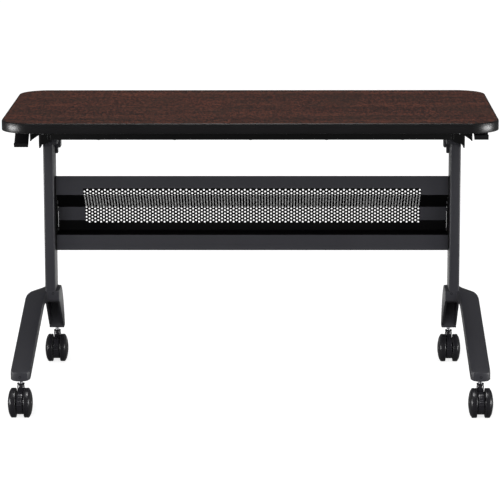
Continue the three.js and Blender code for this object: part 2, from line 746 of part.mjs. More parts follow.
function makeCaster(group, place, x, y) {
  const caster = new THREE.Group();
  caster.position.set(x, y, 0);
  caster.add(node(`caster_stem_${place}`, casterStem(), zincFinish));
  caster.add(node(`caster_hood_${place}`, casterHood(), hoodFinish));
  caster.add(node(`brake_pedal_${place}`, brakePedal(), hoodFinish));
  for (const [letter, side] of [["a", 1], ["b", -1]]) {
    const wheel = node(`caster_wheel_${letter}_${place}`, casterWheel(), wheelFinish);
    wheel.position.set(side * wheelInset, -casterTrail, wheelRadius);
    wheel.scale.x = side;
    caster.add(wheel);
  }
  group.add(caster);
}

// Everything that comes in a left and a right hand
function makeEnd(table, side) {
  const end = new THREE.Group();
  end.scale.x = side === "left" ? -1 : 1;
  end.add(node(`support_arm_${side}`, supportArm(), blackSteelFinish));
  end.add(node(`flip_bracket_${side}`, flipBracket(), blackSteelFinish));
  end.add(node(`pivot_bolt_${side}`, pivotBolt(), zincFinish));
  end.add(node(`hinge_head_${side}`, hingeHead(), coatFinish));
  end.add(node(`release_bracket_${side}`, releaseBracket(), blackSteelFinish));
  end.add(node(`paddle_shaft_${side}`, paddleShaft(), zincFinish));
  end.add(node(`latch_bolt_${side}`, latchBolt(), zincFinish));
  const paddle = node(`release_paddle_${side}`, releasePaddle(), paddleFinish);
  paddle.position.set(paddleInnerX, paddleShaftY, paddleShaftZ);
  paddle.rotation.x = THREE.MathUtils.degToRad(paddleDroop[side]);
  end.add(paddle);
  end.add(node(`column_${side}`, column(), coatFinish));
  end.add(node(`foot_${side}`, foot(), coatFinish));
  end.add(node(`trough_end_plate_${side}`, troughEndPlate(), coatFinish));
  screwPlaces.forEach((place, i) => {
    end.add(node(`panel_screw_${i + 1}_${side}`, panelScrew(place), zincFinish));
  });
  makeCaster(end, `front_${side}`, frontStemX, frontStemY);
  makeCaster(end, `rear_${side}`, rearStemX, rearStemY);
  table.add(end);
}

const table = new THREE.Group();
makeTop(table);
table.add(node("trough_panel", troughPanel(), coatFinish));
for (const side of ["left", "right"]) {
  makeEnd(table, side);
}

export default table;
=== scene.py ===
import json
import math
import bpy
import bmesh
from types import SimpleNamespace
from mathutils import Matrix, Vector


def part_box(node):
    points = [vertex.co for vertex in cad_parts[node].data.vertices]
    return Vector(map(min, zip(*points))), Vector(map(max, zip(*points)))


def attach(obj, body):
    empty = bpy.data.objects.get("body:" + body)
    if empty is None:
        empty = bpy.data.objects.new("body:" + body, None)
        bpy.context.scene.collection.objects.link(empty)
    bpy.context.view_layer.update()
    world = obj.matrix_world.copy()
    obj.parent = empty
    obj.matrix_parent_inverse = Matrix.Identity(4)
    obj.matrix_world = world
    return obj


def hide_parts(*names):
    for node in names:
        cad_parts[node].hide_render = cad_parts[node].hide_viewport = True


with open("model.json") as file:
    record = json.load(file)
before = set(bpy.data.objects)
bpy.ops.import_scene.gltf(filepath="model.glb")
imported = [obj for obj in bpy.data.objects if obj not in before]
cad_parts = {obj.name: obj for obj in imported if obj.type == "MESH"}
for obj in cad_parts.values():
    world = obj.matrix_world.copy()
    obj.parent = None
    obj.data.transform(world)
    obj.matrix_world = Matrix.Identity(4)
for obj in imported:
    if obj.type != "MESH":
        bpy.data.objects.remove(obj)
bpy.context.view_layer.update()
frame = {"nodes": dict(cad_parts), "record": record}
nodes = frame["nodes"]
mm = 0.001
print("frame loaded:", len(nodes), "nodes")


# shader maths as Python expressions
class Wire:
    def __init__(self, tree, socket):
        self.tree = tree
        self.socket = socket

    def node(self, kind, settings=None, pick=0, **inputs):
        made = self.tree.nodes.new(kind)
        for name, value in (settings or {}).items():
            if name == "stops":  # colour ramp: (place, colour) pairs
                ramp = made.color_ramp
                while len(ramp.elements) < len(value):
                    ramp.elements.new(1)
                for element, (place, colour) in zip(ramp.elements, value):
                    element.position = place
                    element.color = (*colour, 1)
            else:
                setattr(made, name, value)
        for name, value in inputs.items():  # i0, i1 and so on are socket numbers
            numbered = name[0] == "i" and name[1:].isdigit()
            socket = made.inputs[int(name[1:]) if numbered else name.replace("_", " ")]
            if isinstance(value, Wire):
                self.tree.links.new(value.socket, socket)
            else:
                socket.default_value = value
        return Wire(self.tree, made.outputs[pick])

    def maths(self, operation, a, b):
        return self.node("ShaderNodeMath", {"operation": operation}, i0=a, i1=b)

    def __add__(self, other):
        return self.maths("ADD", self, other)

    def __radd__(self, other):
        return self.maths("ADD", other, self)

    def __sub__(self, other):
        return self.maths("SUBTRACT", self, other)

    def __rsub__(self, other):
        return self.maths("SUBTRACT", other, self)

    def __mul__(self, other):
        return self.maths("MULTIPLY", self, other)

    def __rmul__(self, other):
        return self.maths("MULTIPLY", other, self)

    def between(self, low, high):
        return self.node("ShaderNodeMapRange", None, Value=self, From_Min=low, From_Max=high)

    def blend(self, first, second):  # two colours, each a plain one or a wire
        colours = [c if isinstance(c, Wire) else (*c, 1) for c in (first, second)]
        return self.node("ShaderNodeMix", {"data_type": "RGBA"}, 2, i0=self, i6=colours[0], i7=colours[1])


def linear(*screen):
    values = [c / 255 for c in screen]
    return tuple(v / 12.92 if v < 0.04045 else ((v + 0.055) / 1.055) ** 2.4 for v in values)


def shaded(colour, share):
    return tuple(c * share for c in colour)


def newFinish(name, **plain):
    material = bpy.data.materials.new(name)
    material.use_nodes = True
    tree = material.node_tree
    shader = tree.nodes["Principled BSDF"]
    for socket, value in plain.items():
        shader.inputs[socket.replace("_", " ")].default_value = value
    place = Wire(tree, None).node("ShaderNodeTexCoord", None, 3)  # Object coordinates

    def feed(socket, wire):
        tree.links.new(wire.socket, shader.inputs[socket])

    return material, place, feed


def noise(place, scale, detail=3, stretch=(1, 1, 1), rough=0.5):
    moved = place.node("ShaderNodeMapping", None, Vector=place, Scale=stretch)
    return place.node("ShaderNodeTexNoise", None, Vector=moved, Scale=scale, Detail=detail, Roughness=rough)


def cells(place, scale):
    colour = place.node("ShaderNodeTexVoronoi", None, 1, Vector=place, Scale=scale)
    return colour.node("ShaderNodeSeparateColor", None, 0, Color=colour)


def bump(place, height, strength, distance):
    return place.node("ShaderNodeBump", None, Height=height, Strength=strength, Distance=distance)


# mahogany laminate: fine mottle and grain along the table, short dark pores, slow colour drift
def laminateFinish():
    look = dict(
        dark=linear(44, 19, 14), mid=linear(86, 44, 31), pale=linear(130, 70, 49), stops=(0.43, 0.5, 0.57),
        pore=linear(34, 20, 18), cool=linear(70, 50, 36),
        grain=dict(scale=9, detail=6, stretch=(1.6, 22, 22), rough=0.72),
        figure=dict(scale=3, detail=2, stretch=(0.5, 5, 5)),
        mottle=dict(scale=46, detail=4, stretch=(3.2, 1, 1), rough=0.75),
        pores=dict(scale=60, detail=2, stretch=(0.35, 9, 9)),
        drift=dict(scale=11, detail=2, stretch=(1, 0.6, 1)),
        grainShare=0.34, figureShare=0.14, mottleShare=0.52,
        poreRange=(0.60, 0.72), poreShare=0.5, driftRange=(0.42, 0.66), driftShare=0.35,
        roughness=0.42, toneRoughness=0.12, poreRoughness=0.1, grainHeight=0.3, relief=(0.12, 0.0004))
    material, place, feed = newFinish("mahoganyLaminate", Specular_IOR_Level=0.3, IOR=1.45)
    grain = noise(place, **look["grain"])
    figure = noise(place, **look["figure"])
    mottle = noise(place, **look["mottle"])
    pores = noise(place, **look["pores"]).between(*look["poreRange"])
    drift = noise(place, **look["drift"]).between(*look["driftRange"])
    tone = grain * look["grainShare"] + figure * look["figureShare"] + mottle * look["mottleShare"]
    stops = list(zip(look["stops"], (look["dark"], look["mid"], look["pale"])))
    warm = tone.node("ShaderNodeValToRGB", {"stops": stops}, Fac=tone)
    colour = (drift * look["driftShare"]).blend(warm, look["cool"])
    feed("Base Color", (pores * look["poreShare"]).blend(colour, look["pore"]))
    feed("Roughness", look["roughness"] + tone * look["toneRoughness"] + pores * look["poreRoughness"])
    feed("Normal", bump(place, grain * look["grainHeight"] - pores, *look["relief"]))
    return material


# powder coat: orange peel, faint clouds and flecks
def powderCoat(name, colour, sheen=0.40, shine=0.5):
    look = dict(
        peel=520, fleck=1400, cloud=7, dark=0.86, light=1.16, fleckRange=(0.62, 0.8),
        cloudShare=0.7, fleckShare=0.3, cloudRoughness=0.08, peelRoughness=0.06, relief=(0.16, 0.0003))
    material, place, feed = newFinish(name, IOR=1.5, Specular_IOR_Level=shine)
    peel = noise(place, look["peel"], 2)
    cloud = noise(place, look["cloud"])
    fleck = noise(place, look["fleck"], 1).between(*look["fleckRange"])
    mix = cloud * look["cloudShare"] + fleck * look["fleckShare"]
    feed("Base Color", mix.blend(shaded(colour, look["dark"]), shaded(colour, look["light"])))
    feed("Roughness", sheen + cloud * look["cloudRoughness"] + peel * look["peelRoughness"])
    feed("Normal", bump(place, peel, *look["relief"]))
    return material


# moulded plastic: spark-eroded grain, clouds, and scuffs that run up and down
def mouldedPlastic(name, colour, gloss, grainScale=900):
    look = dict(
        cloud=12, scuff=45, scuffStretch=(1, 1, 6), scuffRange=(0.62, 0.8), dark=0.8, light=1.3,
        cloudShare=0.6, scuffShare=0.4, cloudRoughness=0.1, scuffRoughness=0.12,
        scuffHeight=0.3, relief=(0.1, 0.0002))
    material, place, feed = newFinish(name, IOR=1.47)
    grain = noise(place, grainScale, 2)
    cloud = noise(place, look["cloud"])
    scuff = noise(place, look["scuff"], 4, look["scuffStretch"]).between(*look["scuffRange"])
    mix = cloud * look["cloudShare"] + scuff * look["scuffShare"]
    feed("Base Color", mix.blend(shaded(colour, look["dark"]), shaded(colour, look["light"])))
    feed("Roughness", gloss + cloud * look["cloudRoughness"] + scuff * look["scuffRoughness"])
    feed("Normal", bump(place, grain + scuff * look["scuffHeight"], *look["relief"]))
    return material


# zinc plate: small spangles under a fine haze
def zincPlate():
    look = dict(
        spangle=240, haze=700, dark=linear(150, 150, 154), light=linear(186, 186, 190),
        roughness=0.3, spangleRoughness=0.18, relief=(0.08, 0.0002))
    material, place, feed = newFinish("zincPlate", Metallic=1.0)
    spangle = cells(place, look["spangle"])
    feed("Base Color", spangle.blend(look["dark"], look["light"]))
    feed("Roughness", look["roughness"] + spangle * look["spangleRoughness"])
    feed("Normal", bump(place, noise(place, look["haze"], 2), *look["relief"]))
    return material


# particle board: pressed chips
def rawBoard():
    look = dict(
        chip=420, dark=linear(112, 82, 52), light=linear(176, 140, 98),
        roughness=0.75, chipRoughness=0.2, relief=(0.3, 0.0005))
    material, place, feed = newFinish("particleBoard")
    chips = cells(place, look["chip"])
    feed("Base Color", chips.blend(look["dark"], look["light"]))
    feed("Roughness", look["roughness"] + chips * look["chipRoughness"])
    feed("Normal", bump(place, chips, *look["relief"]))
    return material


# one finish for each material slot, and a near-black coat that paints the shade inside the trough
finishes = {
    "laminate": laminateFinish(),
    "board": rawBoard(),
    "backing": mouldedPlastic("backingSheet", linear(26, 24, 24), 0.55, 500),
    "edge_band": mouldedPlastic("edgeMoulding", linear(19, 18, 20), 0.30),
    "powder_coat": powderCoat("charcoalCoat", linear(60, 60, 66)),
    "black_steel": powderCoat("blackCoat", linear(9, 9, 10), 0.5, 0.2),
    "zinc": zincPlate(),
    "paddle": mouldedPlastic("paddlePlastic", linear(22, 21, 24), 0.38),
    "wheel": mouldedPlastic("wheelNylon", linear(38, 37, 41), 0.24),
    "hood": mouldedPlastic("hoodNylon", linear(42, 41, 46), 0.2),
}
# near-black coat: painted shade for the trough's recess and its end plates
troughShadeCoat = powderCoat("troughShadeCoat", linear(9, 9, 10), 0.6, 0.12)
slotOf = {row["node"]: row["material_slot"] for row in frame["record"]["subparts"]}
for name, item in nodes.items():
    item.data.materials.clear()
    item.data.materials.append(finishes[slotOf[name]])
print("finishes set:", len(finishes))


# pieces are plain meshes at the origin, each riding on the body of the node it stands for
bodies = frame["record"]["behaviour"]["bodies"]
bodyOf = {node: body for body, members in bodies.items() for node in members}
weldGap = 0.01 * mm


def linked(name, data):
    item = bpy.data.objects.new(name, data)
    bpy.context.collection.objects.link(item)
    return item


def addPiece(name, mesh, body, slot, replaced=()):
    piece = linked(name, mesh)
    if not mesh.materials:
        mesh.materials.append(finishes[slot])
    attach(piece, body)
    if replaced:
        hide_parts(*replaced)


def rawMesh(name, points, faces):
    mesh = bpy.data.meshes.new(name)
    mesh.from_pydata(points, [], faces)
    return mesh


def smoothed(mesh, degrees):
    mesh.shade_smooth()
    mesh.set_sharp_from_angle(angle=math.radians(degrees))
    return mesh


# a welded mesh with its faces turned outwards
def meshFrom(name, points, faces, smoothTo=38):
    mesh = rawMesh(name, points, faces)
    work = bmesh.new()
    work.from_mesh(mesh)
    bmesh.ops.remove_doubles(work, verts=work.verts, dist=weldGap)
    bmesh.ops.recalc_face_normals(work, faces=work.faces)
    work.to_mesh(mesh)
    work.free()
    return smoothed(mesh, smoothTo)


# the evaluated object as a plain mesh; the object itself goes
def plainMesh(item, name):
    mesh = bpy.data.meshes.new_from_object(item.evaluated_get(bpy.context.evaluated_depsgraph_get()))
    bpy.data.objects.remove(item)
    mesh.name = name
    return mesh


# a node's own solid with clean faces and softened edges; angles in degrees
def softenNode(name, edge, steps=2, sharpFrom=28):
    soft = dict(flatTo=0.6, smoothTo=40, roundness=0.7)
    mesh = nodes[name].data.copy()
    mesh.name = name + "Soft"
    work = bmesh.new()
    work.from_mesh(mesh)
    bmesh.ops.remove_doubles(work, verts=work.verts, dist=weldGap)
    flat = math.radians(soft["flatTo"])
    bmesh.ops.dissolve_limit(work, angle_limit=flat, verts=work.verts, edges=work.edges)
    limit = math.radians(sharpFrom)
    sharp = [e for e in work.edges if len(e.link_faces) == 2 and e.calc_face_angle() > limit]
    bmesh.ops.bevel(
        work, geom=sharp, offset=edge * mm, segments=steps, profile=soft["roundness"],
        affect="EDGES", clamp_overlap=True)
    bmesh.ops.triangulate(work, faces=[f for f in work.faces if len(f.verts) > 4])
    work.to_mesh(mesh)
    work.free()
    mesh.materials.clear()
    # the trough end plates take the near-black coat: painted shade in the recess
    mesh.materials.append(troughShadeCoat if name.startswith("trough_end") else finishes[slotOf[name]])
    addPiece(name + "Soft", smoothed(mesh, soft["smoothTo"]), bodyOf[name], slotOf[name], [name])


softPairs = {
    "foot": 1.6, "column": 1.0, "hinge_head": 1.2, "flip_bracket": 0.8, "support_arm": 0.8,
    "release_bracket": 0.7, "release_paddle": 1.2, "paddle_shaft": 0.5, "latch_bolt": 0.5,
    "pivot_bolt": 0.6, "trough_end_plate": 0.15}
softSingles = {"cross_rail": 0.8, "torsion_tube": 0.6}
softBand = dict(edge=0.3, steps=1, sharpFrom=60)
for side in ("left", "right"):
    for stem, edge in softPairs.items():
        softenNode(f"{stem}_{side}", edge)
for name, edge in softSingles.items():
    softenNode(name, edge)
softenNode("edge_band", **softBand)
print("edges softened")


# a node tree with named sizes, and those sizes by socket identifier
def newTree(name, sizes):
    tree = bpy.data.node_groups.new(name, "GeometryNodeTree")
    tree.interface.new_socket("Geometry", in_out="INPUT", socket_type="NodeSocketGeometry")
    inputs = {}
    for label, size in sizes.items():
        socket = tree.interface.new_socket(label, in_out="INPUT", socket_type="NodeSocketFloat")
        inputs[socket.identifier] = size
    tree.interface.new_socket("Geometry", in_out="OUTPUT", socket_type="NodeSocketGeometry")
    return tree, inputs


def runTree(item, tree, inputs, name):
    modifier = item.modifiers.new(tree.name, "NODES")
    modifier.node_group = tree
    for identifier, size in inputs.items():
        modifier[identifier] = size
    return plainMesh(item, name)


# folded, perforated trough: a flat sheet is punched by nodes, then folded and given its thickness
trough = dict(
    columns=116, columnPitch=7.665, hole=5.0,
    flangeRows=2, slopeRows=9, wallRows=5,  # rows of holes above the slope, on it and below it
    hem=10.0, upperFlange=49.0, slopeDrop=44.0, depth=67.0, lowerFlange=41.0, thickness=1.2,
    apart=1.0, weld=0.05, foldedWeld=0.02, smoothTo=30, facing=0.5)


# the section as a line of folds, and where the field of holes lies on the flat sheet
def troughPlan():
    low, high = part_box("trough_panel")
    frontY, topZ, lowZ = low[1] / mm, high[2] / mm, low[2] / mm
    hemY = frontY + trough["hem"]
    backY = frontY + trough["depth"]
    foldZ = topZ - trough["upperFlange"]
    floorZ = lowZ + trough["lowerFlange"]
    section = [
        (hemY, topZ), (frontY, topZ), (frontY, foldZ), (backY, foldZ - trough["slopeDrop"]),
        (backY, floorZ), (frontY, floorZ), (frontY, lowZ), (hemY, lowZ)]
    line = [Vector(point) for point in section]
    lengths = [(b - a).length for a, b in zip(line, line[1:])]
    marks = [sum(lengths[:i]) for i in range(len(line))]
    rowPitch = lengths[2] / trough["slopeRows"]
    return SimpleNamespace(
        half=high[0] / mm, frontY=frontY, backY=backY, topZ=topZ, foldZ=foldZ, floorZ=floorZ,
        line=line, lengths=lengths, marks=marks, rowPitch=rowPitch,
        rows=trough["flangeRows"] + trough["slopeRows"] + trough["wallRows"],
        fieldTop=marks[2] - trough["flangeRows"] * rowPitch,
        fieldHalf=trough["columns"] * trough["columnPitch"] / 2)


# the flat sheet as a grid of half pitches, left open where the punched tiles go
def troughBlank(plan):
    columns, rows = 2 * trough["columns"], 2 * plan.rows
    fieldX = [-plan.fieldHalf + i * trough["columnPitch"] / 2 for i in range(columns + 1)]
    fieldY = [plan.fieldTop + i * plan.rowPitch / 2 for i in range(rows + 1)]
    above = [mark for mark in plan.marks if mark < plan.fieldTop - trough["apart"]]
    below = [mark for mark in plan.marks if mark > fieldY[-1] + trough["apart"]]
    acrossLines = [-plan.half] + fieldX + [plan.half]
    downLines = above + fieldY + below

    def underTile(i, j):  # cell i across and j down
        column, row = i - 1, j - len(above)
        if not (0 <= column < columns and 0 <= row < rows):
            return False
        return (column // 2) % 2 == 1 or 0 < row < rows - 1

    wide = len(acrossLines)
    faces = []
    for j in range(len(downLines) - 1):
        for i in range(wide - 1):
            a = j * wide + i
            if not underTile(i, j):
                faces.append((a, a + 1, a + wide + 1, a + wide))
    points = [(across, down, 0) for down in downLines for across in acrossLines]
    return linked("troughBlank", rawMesh("troughBlank", points, faces))


# one tile: a square of eight border points round an eight-sided hole
def punchedTile(plan):
    border = [(1, 0), (1, 1), (0, 1), (-1, 1), (-1, 0), (-1, -1), (0, -1), (1, -1)]
    sides = len(border)
    radius = trough["hole"] / 2
    turns = [2 * math.pi * i / sides for i in range(sides)]
    rim = [(x * trough["columnPitch"] / 2, y * plan.rowPitch / 2, 0) for x, y in border]
    ring = [(math.cos(turn) * radius, math.sin(turn) * radius, 0) for turn in turns]
    faces = [(i, (i + 1) % sides, sides + (i + 1) % sides, sides + i) for i in range(sides)]
    return linked("punchedTile", rawMesh("punchedTile", rim + ring, faces))


# nodes that lay two fields of tiles on the blank and weld them to it
def punchedSheet(plan):
    sizes = {"Column Pitch": trough["columnPitch"], "Row Pitch": plan.rowPitch, "Field Top": plan.fieldTop}
    tree, inputs = newTree("punchedField", sizes)
    new = tree.nodes.new
    join = tree.links.new
    start, end = new("NodeGroupInput"), new("NodeGroupOutput")
    columnPitch, rowPitch = start.outputs["Column Pitch"], start.outputs["Row Pitch"]
    tile = punchedTile(plan)
    source = new("GeometryNodeObjectInfo")
    source.inputs["Object"].default_value = tile
    gather = new("GeometryNodeJoinGeometry")
    join(start.outputs["Geometry"], gather.inputs[0])

    def value(operation, a, b):
        made = new("ShaderNodeMath")
        made.operation = operation
        for socket, given in zip(made.inputs, (a, b)):
            if isinstance(given, (int, float)):
                socket.default_value = given
            else:
                join(given, socket)
        return made.outputs[0]

    def field(columnCount, rowCount, columnShift, rowShift):  # shifts in pitches
        grid = new("GeometryNodeMeshGrid")
        grid.inputs["Vertices X"].default_value = columnCount
        grid.inputs["Vertices Y"].default_value = rowCount
        join(value("MULTIPLY", columnPitch, 2 * (columnCount - 1)), grid.inputs["Size X"])
        join(value("MULTIPLY", rowPitch, rowCount - 1), grid.inputs["Size Y"])
        middle = value("MULTIPLY", rowPitch, rowShift + rowCount / 2)
        place = new("ShaderNodeCombineXYZ")
        join(value("MULTIPLY", columnPitch, columnShift), place.inputs["X"])
        join(value("ADD", start.outputs["Field Top"], middle), place.inputs["Y"])
        move = new("GeometryNodeTransform")
        join(grid.outputs["Mesh"], move.inputs["Geometry"])
        join(place.outputs[0], move.inputs["Translation"])
        copies = new("GeometryNodeInstanceOnPoints")
        join(move.outputs[0], copies.inputs["Points"])
        join(source.outputs["Geometry"], copies.inputs["Instance"])
        real = new("GeometryNodeRealizeInstances")
        join(copies.outputs[0], real.inputs[0])
        join(real.outputs[0], gather.inputs[0])

    everyOther = trough["columns"] // 2
    field(everyOther, plan.rows - 1, -0.5, 0.5)  # these columns stand half a row lower
    field(everyOther, plan.rows, 0.5, 0)
    weld = new("GeometryNodeMergeByDistance")
    weld.inputs["Distance"].default_value = trough["weld"]
    join(gather.outputs[0], weld.inputs[0])
    paint = new("GeometryNodeSetMaterial")
    paint.inputs["Material"].default_value = finishes["powder_coat"]
    join(weld.outputs[0], paint.inputs["Geometry"])
    join(paint.outputs[0], end.inputs[0])
    sheet = runTree(troughBlank(plan), tree, inputs, "foldedSheet")
    bpy.data.objects.remove(tile)
    return sheet


# bends the flat sheet to its section, with its faces to the front
def foldSheet(plan, sheet):
    slack = 1e-6
    for vertex in sheet.vertices:
        across, along = vertex.co.xy
        k = max(i for i in range(len(plan.lengths)) if plan.marks[i] <= along + slack or i == 0)
        spot = plan.line[k].lerp(plan.line[k + 1], (along - plan.marks[k]) / plan.lengths[k])
        vertex.co = Vector((across, spot.x, spot.y)) * mm
    work = bmesh.new()
    work.from_mesh(sheet)
    bmesh.ops.remove_doubles(work, verts=work.verts, dist=trough["foldedWeld"] * mm)
    bmesh.ops.delete(work, geom=[v for v in work.verts if not v.link_faces], context="VERTS")
    bmesh.ops.recalc_face_normals(work, faces=work.faces)
    onFlange = Vector((0, plan.frontY, plan.topZ - trough["hem"])) * mm
    flange = min(work.faces, key=lambda face: (face.calc_center_median() - onFlange).length)
    if flange.normal.y > 0:
        bmesh.ops.reverse_faces(work, faces=work.faces)
    work.to_mesh(sheet)
    work.free()


# the slope, the floor, the punched web and the foot of the wall take the near-black coat: painted shade for
# the inside of the trough
def paintTroughShade(plan, mesh):
    mesh.materials.clear()
    mesh.materials.append(finishes["powder_coat"])
    mesh.materials.append(troughShadeCoat)
    apart, thickness, facing = trough["apart"], trough["thickness"], trough["facing"]
    overSlope = Vector((0, trough["slopeDrop"], trough["depth"])).normalized()
    fieldLowZ = plan.foldZ - trough["slopeDrop"] - trough["wallRows"] * plan.rowPitch
    webTopZ = plan.foldZ + trough["flangeRows"] * plan.rowPitch
    skirtTopZ = fieldLowZ + plan.rowPitch
    for face in mesh.polygons:
        x, y, z = face.center / mm
        behindFront = y > plan.frontY + apart
        toFront = face.normal.y < facing
        onSlope = behindFront and y < plan.backY - apart and z > plan.floorZ + thickness
        onSlope = onSlope and face.normal.dot(overSlope) < facing
        onFloor = behindFront and y < plan.backY and abs(z - plan.floorZ) < 2 * thickness
        onFloor = onFloor and face.normal.z > -facing
        onWeb = toFront and abs(x) < plan.fieldHalf and webTopZ > z > plan.floorZ
        onSkirt = toFront and plan.floorZ < z < skirtTopZ
        face.material_index = int(onSlope or onFloor or onWeb or onSkirt)


def makeTrough():
    plan = troughPlan()
    sheet = punchedSheet(plan)
    foldSheet(plan, sheet)
    thick = linked("troughThick", sheet)
    wall = thick.modifiers.new("wall", "SOLIDIFY")
    wall.thickness = trough["thickness"] * mm
    wall.offset = -1
    wall.use_even_offset = True
    wall.use_quality_normals = True
    mesh = smoothed(plainMesh(thick, "perforatedTrough"), trough["smoothTo"])
    paintTroughShade(plan, mesh)
    addPiece("perforatedTrough", mesh, "base", "powder_coat", ["trough_panel"])
    print("trough punched:", len(mesh.polygons), "faces")


makeTrough()


# quads between the steps of a profile of (along, radius) points carried round an axis
def turned(profile, steps, place):
    count = len(profile)
    points = []
    for i in range(steps):
        turn = 2 * math.pi * i / steps
        for along, radius in profile:
            points.append(place(along * mm, math.cos(turn) * radius * mm, math.sin(turn) * radius * mm))
    faces = []
    for i in range(steps):
        for k in range(count - 1):
            near = i * count + k
            far = (i + 1) % steps * count + k
            faces.append((near, far, far + 1, near + 1))
    return points, faces


def joined(*shapes):
    points, faces = [], []
    for shapePoints, shapeFaces in shapes:
        start = len(points)
        points += shapePoints
        faces += [tuple(start + k for k in face) for face in shapeFaces]
    return points, faces


def centre(node):
    low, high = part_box(node)
    return [(a + b) / 2 for a, b in zip(low, high)]


# twin wheels: a grooved tread, a domed cover with a ring round it, and a hub cap
wheel = dict(
    steps=72,
    bore=[(15.5, 0), (15.5, 4.6)],
    innerFace=[
        (0.3, 4.6), (0.2, 11), (1.6, 12.2), (1.6, 29.5), (0.2, 30.8), (0.2, 35.6), (0.7, 36.7), (1.8, 37.3)],
    tread=[
        (4.6, 37.45), (5.0, 36.7), (5.8, 36.7), (6.2, 37.45), (10.8, 37.45), (12.2, 37.1), (13.2, 36.2)],
    cover=[
        (13.7, 35.0), (13.6, 34.2), (14.3, 33.7), (15.4, 32.6), (17.0, 29.2), (18.5, 24.2), (19.5, 19.4),
        (19.9, 16.6), (19.5, 16.1)],
    cap=[(19.6, 15.2), (20.3, 14.6), (20.9, 9.5), (21.3, 5.0), (21.45, 0)])


def makeWheel(place, letter):
    profile = wheel["bore"] + wheel["innerFace"] + wheel["tread"] + wheel["cover"] + wheel["cap"]
    node = f"caster_wheel_{letter}_{place}"
    low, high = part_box(node)
    middleX, middleY, middleZ = centre(node)
    side = 1 if middleX > centre(f"caster_hood_{place}")[0] else -1
    innerX = low[0] if side > 0 else high[0]
    fit = (high[1] - low[1]) / 2 / mm / max(radius for along, radius in profile)

    def seat(x, y, z):
        return innerX + side * x, middleY + y * fit, middleZ + z * fit

    mesh = meshFrom("turnedWheel", *turned(profile, wheel["steps"], seat))
    addPiece(f"wheel_{letter}_{place}", mesh, f"wheel_{letter}_{place}", "wheel", [node])


# hood: a rounded drum between the wheels, running up into the swivel boss and its collar
hood = dict(
    steps=64, radius=28.9, half=8.4, soft=1.8, softTurns=(0.4, 0.8, 1.2, 1.57),
    grooveFrom=4, grooveMiddle=3, groove=0.8,  # below the soft edge
    bossSteps=40,
    boss=[
        (30, 0), (30, 9.2), (38, 9.2), (39, 8.5), (41, 8.5), (42, 9.4), (44.2, 9.4), (44.4, 8.6),
        (44.4, 5.5), (18, 5.5)],
    neckSteps=10, neckSides=16, neckLow=14, neckHigh=34,  # heights above the axle
    neckFront=6, neckCurve=1.5, bossFront=8.5, bossBack=8.8, backTaper=2.6,
    neckInset=0.4, neckFlare=0.8, squareness=0.55)


def squared(share):
    return math.copysign(abs(share) ** hood["squareness"], share)


# the neck blends the drum's crown into the boss
def hoodNeck(middleX, axleY, axleZ, stemY):
    steps, sides = hood["neckSteps"], hood["neckSides"]
    points, faces = [], []
    for i in range(steps + 1):
        t = i / steps
        z = axleZ + (hood["neckLow"] + (hood["neckHigh"] - hood["neckLow"]) * t) * mm
        foot = (1 - t) ** hood["neckCurve"] * hood["neckFront"] * mm
        front = axleY - foot + t * (stemY - axleY - hood["bossFront"] * mm)
        back = stemY + (hood["bossBack"] - hood["backTaper"] * (1 - t)) * mm
        wide = (hood["half"] - hood["neckInset"] + hood["neckFlare"] * t) * mm
        for k in range(sides):
            turn = 2 * math.pi * k / sides
            x = middleX + squared(math.cos(turn)) * wide
            y = (front + back) / 2 + squared(math.sin(turn)) * (back - front) / 2
            points.append((x, y, z))
    for i in range(steps):
        for k in range(sides):
            near, far = i * sides + k, i * sides + (k + 1) % sides
            faces.append((near, far, far + sides, near + sides))
    faces += [tuple(range(sides))[::-1], tuple(steps * sides + k for k in range(sides))]
    return points, faces


def makeHood(place):
    node = f"caster_hood_{place}"
    middleX = centre(node)[0]
    stemX, stemY = centre(f"caster_stem_{place}")[:2]
    axleY, axleZ = centre(f"caster_wheel_a_{place}")[1:]
    half, soft, radius = hood["half"], hood["soft"], hood["radius"]
    shoulder = radius - soft
    rim = [(-half, 0), (-half, shoulder - hood["grooveFrom"])]
    rim += [(-half + hood["groove"], shoulder - hood["grooveMiddle"]), (-half, shoulder)]
    for turn in hood["softTurns"]:
        rim.append((-half + soft * (1 - math.cos(turn)), radius - soft * (1 - math.sin(turn))))
    rim += [(-along, r) for along, r in reversed(rim)]
    drum = turned(rim, hood["steps"], lambda x, y, z: (middleX + x, axleY + y, axleZ + z))
    boss = turned(hood["boss"], hood["bossSteps"], lambda z, x, y: (stemX + x, stemY + y, axleZ + z))
    mesh = meshFrom("roundedHood", *joined(drum, boss, hoodNeck(middleX, axleY, axleZ, stemY)))
    addPiece(f"hood_{place}", mesh, f"caster_{place}", "hood", [node])


# pedal: a tongue round the drum, rounded at its upper end, with grip ribs and a lip at its foot
pedal = dict(
    start=119, sweep=60.5,  # degrees round the axle; the shares below are of this sweep
    inner=29.5, body=33.4, lip=35.2, half=8.3, turnSteps=44, acrossSteps=10,
    tip=0.22, tipWidth=0.35, tipHeight=0.4, tipRise=6,
    rib=0.7, ribs=5, ribsFrom=0.3, ribsTo=0.8, ribReach=0.75,
    lipFrom=0.84, lipCurve=0.6, lipEdge=0.3, edgePower=9, edgeHeight=0.35)


